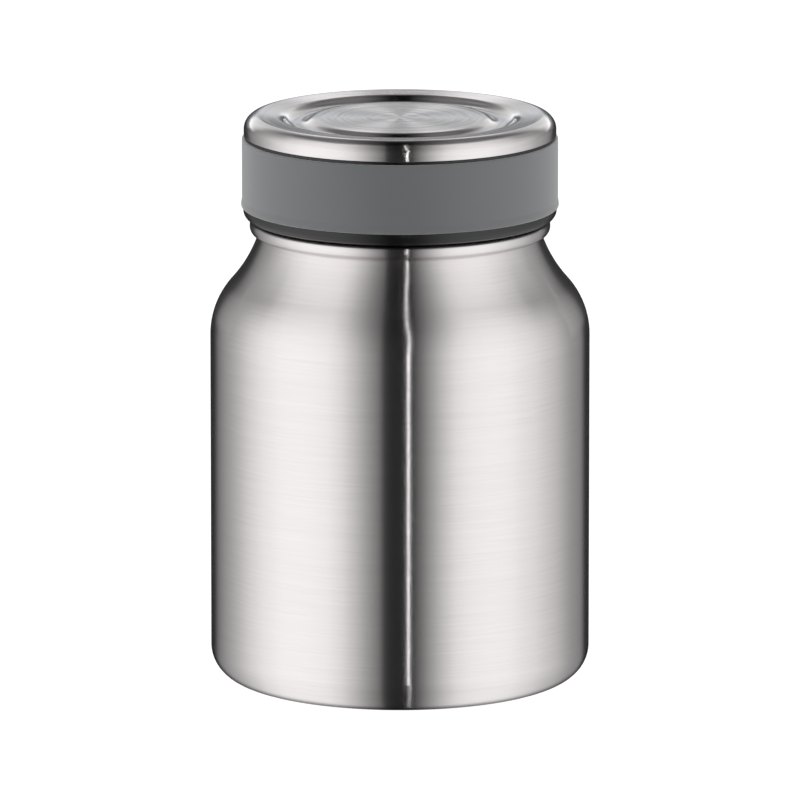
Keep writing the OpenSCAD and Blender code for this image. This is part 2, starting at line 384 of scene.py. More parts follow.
@dataclass(frozen=True)
class ScrewRidge:
    """One ridge of a thread, raised on a finely ringed wall by moving its vertices."""

    start_z: float
    turns: float
    height: float
    wall_r: float
    reach: float
    start_deg: float = 8.0
    lead: float = 6.0
    root: float = 1.35
    crest: float = 0.45
    run_out_deg: float = 25.0

    def rise(self, degrees: float, z: float) -> float:
        """The ridge's height at a place on the wall.

        Args:
            degrees: The angle round the axis.
            z: The height above the foot.

        Returns:
            The height of the ridge there, from 0 to its full height.
        """
        total = self.turns * 360.0
        best = 0.0
        turned = (degrees - self.start_deg) % 360.0
        while turned <= total:
            off = abs(z - self.start_z - self.lead * turned / 360.0)
            flank = smooth((self.root - off) / (self.root - self.crest))
            ends = smooth(turned / self.run_out_deg) * smooth((total - turned) / self.run_out_deg)
            best = max(best, flank * ends)
            turned += 360.0
        return best * self.height

    def raise_on(self, solid: Mesh) -> None:
        """Moves the wall's vertices out by the ridge, or in where its height is negative.

        Args:
            solid: The turned part, whose wall lies within the reach of the wall's radius.
        """
        low = self.start_z - self.root
        high = self.start_z + self.lead * self.turns + self.root
        for vertex in solid.verts:
            radius = math.hypot(vertex.co.x, vertex.co.y) / MM
            z = vertex.co.z / MM
            if not (low < z < high and abs(radius - self.wall_r) < self.reach):
                continue
            rise = self.rise(math.degrees(math.atan2(vertex.co.y, vertex.co.x)), z)
            grown = (radius + rise) / radius
            vertex.co.x *= grown
            vertex.co.y *= grown


# ---------------------------------------------------------------- finishes


@dataclass(frozen=True)
class Finish:
    """A material as the eye meets it, whose colour wanders between a light and a dark one."""

    name: str
    light: str
    dark: str
    roughness: float

    def on(self, piece: bpy.types.Object) -> None:
        """Makes the material and puts it on a new piece, or in a CAD node's slot.

        Args:
            piece: The object that gets the material.
        """
        material = bpy.data.materials.new(self.name)
        tree = cleared_tree(material)
        shader = add_node(tree, "BsdfPrincipled")
        add_node(tree, "OutputMaterial", {"Surface": shader})
        self.paint(tree, shader)
        if piece.material_slots:
            piece.material_slots[0].material = material
        else:
            piece.data.materials.append(material)

    def paint(self, tree: NodeTree, shader: Node) -> None:
        """Gives the shader its values and patterns.

        Args:
            tree: The material's node tree.
            shader: Its Principled shader.
        """
        raise NotImplementedError

    def tint(self, tree: NodeTree, shader: Node, share: Node) -> None:
        """Mixes the dark and the light colour by the share of the light one."""
        colour = add_node(tree, "Mix", {0: share, 6: linear(self.dark), 7: linear(self.light)},
                          data_type="RGBA")
        tree.links.new(colour.outputs[2], shader.inputs["Base Color"])

    def gloss(self, tree: NodeTree, shader: Node, share: Node, spread: float) -> None:
        """Lets the roughness grow with the share.

        Args:
            tree: The material's node tree.
            shader: Its Principled shader.
            share: The node with the share.
            spread: How far the roughness goes to either side, negative where it falls.
        """
        rough = add_node(tree, "MapRange", {
            "Value": share, "To Min": self.roughness - spread, "To Max": self.roughness + spread})
        tree.links.new(rough.outputs[0], shader.inputs["Roughness"])

    def emboss(self, tree: NodeTree, shader: Node, *layers: tuple[Node, float]) -> None:
        """Raises fine relief, one layer on the other.

        Args:
            tree: The material's node tree.
            shader: Its Principled shader.
            *layers: Each layer's pattern and its depth in millimetres, the lowest first.
        """
        under = {}
        for pattern, depth in layers:
            bump = add_node(tree, "Bump", {
                "Strength": 1.0, "Distance": depth * MM, "Height": pattern, **under})
            under = {"Normal": bump}
        tree.links.new(bump.outputs[0], shader.inputs["Normal"])


@dataclass(frozen=True)
class BrushedSteel(Finish):
    """18/8 stainless steel, brushed on a lathe with an abrasive pad.

    The scratches run round the jar: light spreads wide up and down and stays sharp round the
    body, so that lamps show as upright bands. Fine rings of slightly lighter and darker metal
    show at close range.
    """

    light: str = "#D2CECE"
    dark: str = "#CDC9C9"
    roughness: float = 0.17
    roughness_spread: float = 0.0075
    scratch_mm: float = 18.0
    pitch_mm: float = 0.3
    drift_mm: float = 2.2
    drift_share: float = 0.35
    drift_stretch: float = 3.0
    streak_range: tuple[float, float] = (0.32, 0.68)
    bump_mm: float = 0.0002
    cross_grain_mm: float = 0.5
    cross_bump_mm: float = 0.002
    wave_mm: float = 0.0

    def paint(self, tree: NodeTree, shader: Node) -> None:
        """Gives the steel its streaks, its spread and its scratches.

        Args:
            tree: The material's node tree.
            shader: Its Principled shader.
        """
        along = add_node(tree, "Attribute", attribute_name=PROFILE)
        seat = add_node(tree, "TexCoord")
        axes = add_node(tree, "SeparateXYZ", {0: seat.outputs["Object"]})
        rings = []
        for pitch, scratch in ((self.pitch_mm, self.scratch_mm),
                               (self.drift_mm, self.drift_stretch * self.scratch_mm)):
            across = 1 / (scratch * MM)
            spot = add_node(tree, "CombineXYZ", {
                axis: add_node(tree, "Math", {0: source, 1: scale}, operation="MULTIPLY")
                for axis, (source, scale) in enumerate((
                    (axes.outputs["X"], across), (axes.outputs["Y"], across),
                    (along.outputs["Fac"], 1 / pitch)))})
            rings.append(add_node(tree, "TexNoise", {
                "Vector": spot, "Scale": 1.0, "Detail": 2.0, "Roughness": CLOUD}))
        streaks = add_node(tree, "Mix", {0: self.drift_share, 2: rings[0], 3: rings[1]},
                           data_type="FLOAT")
        low, high = self.streak_range
        share = add_node(tree, "MapRange", {"Value": streaks, "From Min": low, "From Max": high})
        self.tint(tree, shader, share)
        self.gloss(tree, shader, share, -self.roughness_spread)
        shader.inputs["Metallic"].default_value = 1.0
        shader.inputs["Anisotropic"].default_value = 1.0
        shader.inputs["Anisotropic Rotation"].default_value = 0.25
        grain = add_node(tree, "Tangent", direction_type="RADIAL", axis="Z")
        tree.links.new(grain.outputs[0], shader.inputs["Tangent"])
        cross_grain = add_node(tree, "TexNoise", {
            "Vector": seat.outputs["Object"], "Scale": 1 / (self.cross_grain_mm * MM),
            "Detail": 1.0})
        self.emboss(tree, shader, (cross_grain, self.cross_bump_mm), (rings[1], self.wave_mm),
                    (rings[0], self.bump_mm))


@dataclass(frozen=True)
class DrawnSteel(Finish):
    """Stainless steel as it comes from drawing and electropolishing.

    It is bright and soft-edged in its reflections, with a faint mottle from the acid bath and
    hardly any direction.
    """

    light: str = "#D2D0CE"
    dark: str = "#C2C0BE"
    roughness: float = 0.24
    roughness_spread: float = 0.05
    mottle_mm: float = 3.0
    bump_mm: float = 0.004

    def paint(self, tree: NodeTree, shader: Node) -> None:
        """Gives the steel its mottle and a slight orange peel.

        Args:
            tree: The material's node tree.
            shader: Its Principled shader.
        """
        seat = add_node(tree, "TexCoord")
        mottle = add_node(tree, "TexNoise", {
            "Vector": seat.outputs["Object"], "Scale": 1 / (self.mottle_mm * MM), "Detail": 4.0})
        self.tint(tree, shader, mottle)
        self.gloss(tree, shader, mottle, self.roughness_spread)
        shader.inputs["Metallic"].default_value = 1.0
        self.emboss(tree, shader, (mottle, self.bump_mm))


@dataclass(frozen=True)
class Grained(Finish):
    """A material with a fine random grain: moulded plastic, silicone, foam, glass or sinter.

    Its colour wanders a little over several millimetres, and its grain breaks up the highlights
    at close range.
    """

    ior: float = 1.5
    metallic: float = 0.0
    sheen: float = 0.0
    grain_mm: float = 0.4
    grain_depth_mm: float = 0.01
    grain_share: float = 0.6
    grain_range: tuple[float, float] = (0.3, 0.7)
    drift_mm: float = 12.0
    roughness_spread: float = 0.06

    def paint(self, tree: NodeTree, shader: Node) -> None:
        """Gives the material its drift of colour, its gloss and its grain.

        Args:
            tree: The material's node tree.
            shader: Its Principled shader.
        """
        seat = add_node(tree, "TexCoord").outputs["Object"]
        grain = add_node(tree, "TexNoise", {
            "Vector": seat, "Scale": 1 / (self.grain_mm * MM), "Detail": 3.0, "Roughness": 0.65})
        drift = add_node(tree, "TexNoise", {
            "Vector": seat, "Scale": 1 / (self.drift_mm * MM), "Detail": 2.0})
        blend = add_node(tree, "Mix", {0: self.grain_share, 2: drift, 3: grain}, data_type="FLOAT")
        low, high = self.grain_range
        share = add_node(tree, "MapRange", {"Value": blend, "From Min": low, "From Max": high})
        self.tint(tree, shader, share)
        self.gloss(tree, shader, grain, self.roughness_spread)
        shader.inputs["Metallic"].default_value = self.metallic
        shader.inputs["IOR"].default_value = self.ior
        shader.inputs["Sheen Weight"].default_value = self.sheen
        self.emboss(tree, shader, (grain, self.grain_depth_mm))


# 18/8 steel brushed round the body: upright bands of light with fine rings in them.
BODY_STEEL = BrushedSteel("steel_18_8_brushed_round_the_body")
# The same steel brushed in circles on the pressed cap: light fans out from the centre.
CAP_STEEL = BrushedSteel("steel_18_8_brushed_in_circles", roughness=0.14, pitch_mm=0.5,
                         scratch_mm=9.0, bump_mm=0.01, wave_mm=0.08)
# The base disc is spun with a coarser pad, so its rings show more.
BASE_STEEL = BrushedSteel("steel_18_8_spun_satin", "#C6C4C2", "#AFADAB", 0.3, pitch_mm=0.6,
                          bump_mm=0.002)
# Electropolished food vessel: bright and soft, with a faint mottle.
LINER_STEEL = DrawnSteel("steel_18_8_electropolished")
# Cold-rolled strip of the getter's strap: dull grey metal.
STRIP_STEEL = DrawnSteel("steel_strip_cold_rolled", "#B4B2B0", "#9A9896", 0.4)
# Soft-touch silicone, moulded: an even mid grey, matt, with a bloom of light towards its edges.
BAND_SILICONE = Grained("silicone_moulded_grey", "#5C5D60", "#595A5D", 0.45, ior=1.42, sheen=0.65,
                        grain_mm=0.3, grain_depth_mm=0.006, drift_mm=20.0)
# Food-grade silicone, moulded: milky white and matt.
GASKET_SILICONE = Grained("silicone_moulded_milky", "#DADBD9", "#D0D1CF", 0.45, ior=1.42,
                          grain_mm=0.5, grain_depth_mm=0.004)
# Polypropylene moulded in a spark-eroded tool: black with a satin gloss and a fine even grain.
CAP_PLASTIC = Grained("polypropylene_moulded_black", "#070708", "#050506", 0.22, ior=1.49,
                      grain_mm=0.35, grain_depth_mm=0.012)
# Polypropylene moulded in a polished tool: black and a little glossier, as food runs off it.
PLUG_PLASTIC = Grained("polypropylene_moulded_smooth", "#2A2A2C", "#242426", 0.28, ior=1.49,
                       grain_mm=0.8, grain_depth_mm=0.006)
# Expanded polystyrene, moulded in beads: off-white and chalky with a cellular grain.
LID_FOAM = Grained("polystyrene_foam_moulded", "#F1EFE6", "#DCD9CC", 0.8, ior=1.45, grain_mm=2.6,
                   grain_depth_mm=0.15)
# Acrylic foam tape, die-cut: white, matt and finely porous.
TAPE_FOAM = Grained("acrylic_foam_tape_cut", "#E6E6E4", "#D4D4D2", 0.7, ior=1.45, grain_mm=0.5,
                    grain_depth_mm=0.05)
# Solder glass, fused in the pumping hole: dark, glossy and slightly pitted.
SOLDER_GLASS = Grained("solder_glass_fused", "#23292B", "#15191B", 0.12, ior=1.7, grain_mm=0.7,
                       grain_depth_mm=0.01, roughness_spread=0.04)
# Getter powder, pressed and sintered: dark grey metal with a coarse matt grain.
SINTERED_GETTER = Grained("getter_powder_sintered", "#6A6866", "#454443", 0.62, metallic=0.9,
                          grain_mm=0.35, grain_depth_mm=0.05)
# Copper foil, rolled thin and wrapped by hand: warm, bright and crumpled.
COPPER_FOIL = Grained("copper_foil_rolled", "#E0A07A", "#C98258", 0.22, metallic=1.0,
                      grain_mm=6.0, grain_depth_mm=0.35, drift_mm=25.0)


def finish_packed(finishes: dict[str, Finish]) -> None:
    """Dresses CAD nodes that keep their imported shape.

    Args:
        finishes: Each node's finish, by the node's name.
    """
    for node, finish in finishes.items():
        finish.on(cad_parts[node])
        LOG.info("%s: as packed, finished", node)


# ---------------------------------------------------------------- sub-assemblies


@dataclass
class OuterWall:
    """The outer wall: straight body, rounded shoulder, neck bead and threaded neck."""

    body_r: float = 47.25
    wall: float = 0.6
    seam_z: float = 8.2
    shoulder_z: float = 87.1
    shoulder_r: float = 19.8
    shoulder_deg: float = 41.7
    hollow_r: float = 34.2
    groove_deg: float = 18.2
    bead_out: float = 2.1
    bead_top_r: float = 1.2
    bead_h: float = 3.7
    neck_r: float = 33.979
    neck_fillet: float = 0.8
    neck_top_z: float = 131.441
    thread_z: float = 120.441
    thread_turns: float = 1.15
    thread_h: float = 1.2
    ring_pitch: float = 0.26

    def line(self, section: Section, depth: float) -> None:
        """Draws the wall's line at a depth below its outer face.

        Args:
            section: The pen.
            depth: 0 for the outer face, the wall's thickness for the inner one.
        """
        shoulder = (self.body_r - self.shoulder_r, self.shoulder_z)
        hollow = polar(shoulder, self.shoulder_r + self.hollow_r, self.shoulder_deg)
        groove = polar(hollow, -self.hollow_r, self.groove_deg)
        bead_r = groove[0] + self.bead_out
        bead_z = groove[1] + self.bead_h
        section.start((self.body_r - depth, self.seam_z))
        section.arc(shoulder, self.shoulder_r - depth, 0, self.shoulder_deg)
        section.arc(hollow, self.hollow_r + depth, 180 + self.shoulder_deg, 180 + self.groove_deg)
        if depth:
            section.arc(groove, depth, 180 + self.groove_deg, 90)
        section.arc((groove[0], groove[1] + self.bead_out), self.bead_out - depth, -90, 0)
        section.arc((bead_r - self.bead_top_r, bead_z - self.bead_top_r),
                    self.bead_top_r - depth, 0, 90)
        section.arc((self.neck_r + self.neck_fillet, bead_z + self.neck_fillet),
                    self.neck_fillet + depth, 270, 180)
        section.to((self.neck_r - depth, self.neck_top_z), pitch=self.ring_pitch)

    def build(self) -> None:
        """Turns the wall and rolls the thread into both faces of its neck."""
        solid = turned_sheet(self.line, self.wall)
        ridge = ScrewRidge(self.thread_z, self.thread_turns, self.thread_h,
                           wall_r=self.neck_r - self.wall / 2, reach=self.wall)
        ridge.raise_on(solid)
        self.piece = place("outer_wall", solid, Body.JAR, "outer_shell")

    def dress(self) -> None:
        """Brushes the wall."""
        BODY_STEEL.on(self.piece)


@dataclass
class Bottom:
    """The bottom cup with its foot ring and pumping hole, and the disc that covers it."""

    body_r: float = 47.25
    wall: float = 0.6
    corner_r: float = 8.2
    foot_edge_r: float = 1.0
    recess_r: float = 35.5
    recess_h: float = 3.0
    panel_fillet: float = 0.6
    dimple_r: float = 5.0
    dimple_h: float = 1.2
    dimple_ease: float = 0.4
    hole_r: float = 1.0
    seam_step: float = 0.2
    seam_deg: float = 1.4
    disc_r: float = 34.6
    disc_z: float = 2.5
    disc_t: float = 0.5
    disc_panel_r: float = 22.0
    disc_panel_h: float = 0.14
    disc_step: float = 1.0
    disc_step_ease: float = 0.4
    disc_edge: float = 0.18

    def line(self, section: Section, depth: float) -> None:
        """Draws the cup's line at a depth below its outer face.

        Args:
            section: The pen.
            depth: 0 for the outer face, the wall's thickness for the inner one.
        """
        section.start((self.body_r - depth, self.corner_r))
        section.to((self.body_r - depth, self.corner_r - self.seam_step))
        section.arc((self.body_r - self.corner_r, self.corner_r),
                    self.corner_r - depth, -self.seam_deg, -90)
        section.arc((self.recess_r + self.foot_edge_r, self.foot_edge_r),
                    self.foot_edge_r - depth, -90, -180)
        section.arc((self.recess_r - self.panel_fillet, self.recess_h - self.panel_fillet),
                    self.panel_fillet + depth, 0, 90)
        section.to((self.dimple_r + self.dimple_h, self.recess_h + depth),
                   (self.dimple_r, self.recess_h + self.dimple_h + depth), ease=self.dimple_ease)
        section.to((self.hole_r, self.recess_h + self.dimple_h + depth))

    def build(self) -> None:
        """Turns the cup and the disc."""
        cup = turned_sheet(self.line, self.wall, sense=-1.0)
        self.cup = place("bottom_cup", cup, Body.JAR, "outer_bottom")
        disc = Section()
        disc.start((0.0, self.disc_z + self.disc_panel_h))
        disc.to((self.disc_panel_r, self.disc_z + self.disc_panel_h),
                (self.disc_panel_r + self.disc_step, self.disc_z), ease=self.disc_step_ease)
        disc.to((self.disc_r, self.disc_z), ease=self.disc_edge)
        disc.to((self.disc_r, self.disc_z + self.disc_t))
        disc.to((0.0, self.disc_z + self.disc_t))
        self.disc = place("base_disc", disc.turn(), Body.JAR, "base_cover")

    def dress(self) -> None:
        """Brushes the cup and spins the disc's satin."""
        BODY_STEEL.on(self.cup)
        BASE_STEEL.on(self.disc)


@dataclass
class FoodVessel:
    """The food vessel: its wall up to the lip, and its dished bottom."""

    liner_r: float = 41.65
    wall: float = 0.5
    seam_z: float = 18.0
    bottom_z: float = 9.0
    corner_r: float = 9.0
    shoulder_z: float = 84.1
    neck_z: float = 112.341
    mouth_out_r: float = 32.479
    lip_fillet: float = 0.6
    lip_r: float = 33.979
    rim_z: float = 131.941

    def wall_line(self, section: Section, depth: float) -> None:
        """Draws the wall's line at a depth below its outer face.

        Args:
            section: The pen.
            depth: 0 for the outer face, the wall's thickness for the inner one.
        """
        bend_r, bend_deg = double_bend(
            self.neck_z - self.shoulder_z, self.liner_r - self.mouth_out_r)
        section.start((self.liner_r - depth, self.seam_z))
        section.arc((self.liner_r - bend_r, self.shoulder_z), bend_r - depth, 0, bend_deg)
        section.arc((self.mouth_out_r + bend_r, self.neck_z), bend_r + depth, 180 + bend_deg, 180)
        section.arc(
            (self.mouth_out_r + self.lip_fillet, self.rim_z - self.wall - self.lip_fillet),
            self.lip_fillet + depth, 180, 90)
        section.to((self.lip_r, self.rim_z - self.wall + depth))

    def bottom_line(self, section: Section, depth: float) -> None:
        """Draws the bottom's line at a depth below its outer face.

        Args:
            section: The pen.
            depth: 0 for the outer face, the wall's thickness for the inner one.
        """
        section.start((self.liner_r - depth, self.seam_z))
        section.arc((self.liner_r - self.corner_r, self.seam_z), self.corner_r - depth, 0, -90)
        section.to((0.0, self.bottom_z + depth))

    def build(self) -> None:
        """Turns the wall and the bottom."""
        wall = turned_sheet(self.wall_line, self.wall)
        bottom = turned_sheet(self.bottom_line, self.wall)
        self.pieces = (
            place("vessel_wall", wall, Body.JAR, "inner_liner"),
            place("vessel_bottom", bottom, Body.JAR, "liner_bottom"),
        )

    def dress(self) -> None:
        """Polishes the vessel."""
        for piece in self.pieces:
            LINER_STEEL.on(piece)


@dataclass
class VacuumParts:
    """The parts in the vacuum space, which keep the shapes of their CAD nodes."""

    def dress(self) -> None:
        """Gives each part its finish."""
        finish_packed({"vacuum_seal": SOLDER_GLASS, "getter": SINTERED_GETTER,
                       "getter_clip": STRIP_STEEL, "radiation_foil": COPPER_FOIL})


@dataclass
class SealRing:
    """The silicone ring that seals the lid on the rim of the mouth, with two lips below."""

    in_r: float = 31.479
    out_r: float = 33.979
    low_z: float = 131.941
    top_z: float = 134.241
    lip_w: float = 0.75
    lip_h: float = 0.3
    lip_slope: float = 0.2
    ease: float = 0.14

    def build(self) -> None:
        """Turns the ring."""
        ring = Section()
        ring.start((self.in_r, self.top_z))
        ring.to((self.in_r, self.low_z), (self.in_r + self.lip_w, self.low_z),
                (self.in_r + self.lip_w + self.lip_slope, self.low_z + self.lip_h),
                (self.out_r - self.lip_w - self.lip_slope, self.low_z + self.lip_h),
                (self.out_r - self.lip_w, self.low_z), (self.out_r, self.low_z), ease=self.ease)
        ring.to((self.out_r, self.top_z))
        self.piece = place("seal_ring", ring.turn(), Body.SEAL, "lid_gasket")

    def dress(self) -> None:
        """Gives the ring its silicone."""
        GASKET_SILICONE.on(self.piece)


@dataclass
class ScrewCap:
    """The black screw cap: skirt, band seat, collar, top plate and the thread inside."""

    in_r: float = 36.179
    chamfer: float = 0.4
    edge_r: float = 2.3
    skirt_r: float = 38.979
    skirt_z: float = 116.341
    band_z: float = 119.541
    seat_r: float = 37.879
    band_top_z: float = 136.791
    collar_r: float = 38.729
    cover_z: float = 137.441
    cover_seat_r: float = 38.229
    shell_top_z: float = 138.641
    top_wall: float = 1.6
    plate_z: float = 134.241
    plate_top_z: float = 136.241
    bond_r: float = 25.629
    bond_w: float = 4.0
    bond_z: float = 139.541
    ring_pitch: float = 0.26
    skirt_ease: float = 0.15
    collar_ease: float = 0.1
    thread_z: float = 118.241
    thread_turns: float = 1.0
    thread_h: float = 1.8
    thread_reach: float = 0.1
    thread_top_z: float = 126.6

    def build(self) -> None:
        """Turns the cap and raises its thread inwards."""
        cap = Section()
        cap.start((self.in_r + self.chamfer, self.skirt_z))
        cap.arc((self.skirt_r - self.edge_r, self.skirt_z + self.edge_r), self.edge_r, -90, 0)
        cap.to((self.skirt_r, self.band_z), ease=self.skirt_ease)
        cap.to((self.seat_r, self.band_z), (self.seat_r, self.band_top_z))
        cap.to((self.collar_r, self.band_top_z), (self.collar_r, self.cover_z),
               ease=self.collar_ease)
        top_in_r = self.cover_seat_r - self.top_wall
        bond_out_r, bond_in_r = self.bond_r + self.bond_w / 2, self.bond_r - self.bond_w / 2
        cap.to((self.cover_seat_r, self.cover_z), (self.cover_seat_r, self.shell_top_z),
               (top_in_r, self.shell_top_z), (top_in_r, self.plate_top_z),
               (bond_out_r, self.plate_top_z), (bond_out_r, self.bond_z),
               (bond_in_r, self.bond_z), (bond_in_r, self.plate_top_z), (0.0, self.plate_top_z))
        cap.start((self.in_r, self.skirt_z + self.chamfer))
        cap.to((self.in_r, self.thread_top_z), pitch=self.ring_pitch)
        cap.to((self.in_r, self.plate_z), (0.0, self.plate_z))
        solid = cap.turn()
        ridge = ScrewRidge(self.thread_z, self.thread_turns, -self.thread_h,
                           wall_r=self.in_r, reach=self.thread_reach)
        ridge.raise_on(solid)
        self.piece = place("screw_cap", solid, Body.LID, "lid_shell")

    def dress(self) -> None:
        """Gives the cap its plastic."""
        CAP_PLASTIC.on(self.piece)


@dataclass
class Plug:
    """The insulating plug under the lid: a plastic cup with its foam, and the bonding ring."""

    plug_r: float = 31.179
    plug_z: float = 117.941
    plate_z: float = 134.241
    wall: float = 1.6
    corner_r: float = 3.0
    gate_r: float = 1.6
    gate_h: float = 0.25
    gate_slope: float = 0.3
    gate_ease: float = 0.1

    def line(self, section: Section, depth: float) -> None:
        """Draws the cup's line at a depth below its outer face.

        Args:
            section: The pen.
            depth: 0 for the outer face, the wall's thickness for the inner one.
        """
        section.start((self.plug_r - depth, self.plate_z))
        section.arc((self.plug_r - self.corner_r, self.plug_z + self.corner_r),
                    self.corner_r - depth, 0, -90)
        if not depth:
            section.to((self.gate_r, self.plug_z),
                       (self.gate_r - self.gate_slope, self.plug_z + self.gate_h),
                       ease=self.gate_ease)
            section.to((0.0, self.plug_z + self.gate_h))
        section.to((0.0, self.plug_z + max(depth, self.gate_h)))

    def build(self) -> None:
        """Turns the cup."""
        cup = turned_sheet(self.line, self.wall)
        self.piece = place("plug_cup", cup, Body.LID, "lid_plug")

    def dress(self) -> None:
        """Gives the cup its plastic, and the foam and the bonding ring inside the lid theirs."""
        PLUG_PLASTIC.on(self.piece)
        finish_packed({"lid_foam": LID_FOAM, "bonding_ring": TAPE_FOAM})


@dataclass
class SteelCap:
    """The pressed steel cap: rolled rim, ring groove and raised centre."""

    cover_r: float = 38.829
    cover_z: float = 137.441
    top_z: float = 142.441
    wall: float = 0.5
    edge_roll: float = 0.35
    rim_r: float = 3.5
    rim_in_r: float = 30.529
    rim_in_z: float = 142.141
    groove_out_r: float = 26.529
    groove_in_r: float = 24.729
    groove_z: float = 140.641
    centre_r: float = 21.129
    centre_z: float = 141.741
    ring_pitch: float = 2.0

    def line(self, section: Section, depth: float) -> None:
        """Draws the cap's line at a depth below its outer face.

        Args:
            section: The pen.
            depth: 0 for the outer face, the wall's thickness for the inner one.
        """
        out_r, out_deg = double_bend(
            self.rim_in_r - self.groove_out_r, self.rim_in_z - self.groove_z)
        in_r, in_deg = double_bend(
            self.groove_in_r - self.centre_r, self.centre_z - self.groove_z)
        if depth:
            section.start((self.cover_r - depth, self.cover_z))
        else:
            section.start((self.cover_r - self.edge_roll, self.cover_z))
            section.arc((self.cover_r - self.edge_roll, self.cover_z + self.edge_roll),
                        self.edge_roll, -90, 0)
        section.arc((self.cover_r - self.rim_r, self.top_z - self.rim_r), self.rim_r - depth, 0, 90)
        section.arc((self.rim_in_r, self.rim_in_z - out_r), out_r - depth, 90, 90 + out_deg)
        section.arc((self.groove_out_r, self.groove_z + out_r), out_r + depth, out_deg - 90, -90)
        section.arc((self.groove_in_r, self.groove_z + in_r), in_r + depth, -90, -90 - in_deg)
        section.arc((self.centre_r, self.centre_z - in_r), in_r - depth, 90 - in_deg, 90)
        section.to((0.0, self.centre_z - depth), pitch=self.ring_pitch)

    def build(self) -> None:
        """Turns the cap."""
        cap = turned_sheet(self.line, self.wall)
        self.piece = place("steel_cap", cap, Body.LID, "lid_cover")

    def dress(self) -> None:
        """Brushes the cap in circles."""
        CAP_STEEL.on(self.piece)


@dataclass
class GripBand:
    """The silicone band stretched round the lid, a little wider at its lower lip."""

    in_r: float = 37.979
    band_r: float = 39.279
    low_z: float = 119.541
    top_z: float = 136.791
    lip: float = 0.2
    lip_h: float = 2.0
    lip_ease: float = 0.3
    edge: float = 0.4

    def build(self) -> None:
        """Turns the band."""
        band = Section()
        lip_r = self.band_r + self.lip
        band.start((self.in_r, self.low_z))
        band.arc((lip_r - self.edge, self.low_z + self.edge), self.edge, -90, 0)
        band.to((lip_r, self.low_z + self.lip_h / 2), (self.band_r, self.low_z + self.lip_h),
                ease=self.lip_ease)
        band.arc((self.band_r - self.edge, self.top_z - self.edge), self.edge, 0, 90)
        band.to((self.in_r, self.top_z))
        self.piece = place("grip_band_soft", band.turn(), Body.LID, "grip_band")

    def dress(self) -> None:
        """Gives the band its silicone."""
        BAND_SILICONE.on(self.piece)


# ---------------------------------------------------------------- studio


@dataclass(frozen=True)
class Ray:
    """Where a ray of the world's light goes, as the nodes and sockets that say so."""

    tree: NodeTree
    y: Socket
    z: Socket
    aside: Node
    pitch: Node
    azimuth: Node


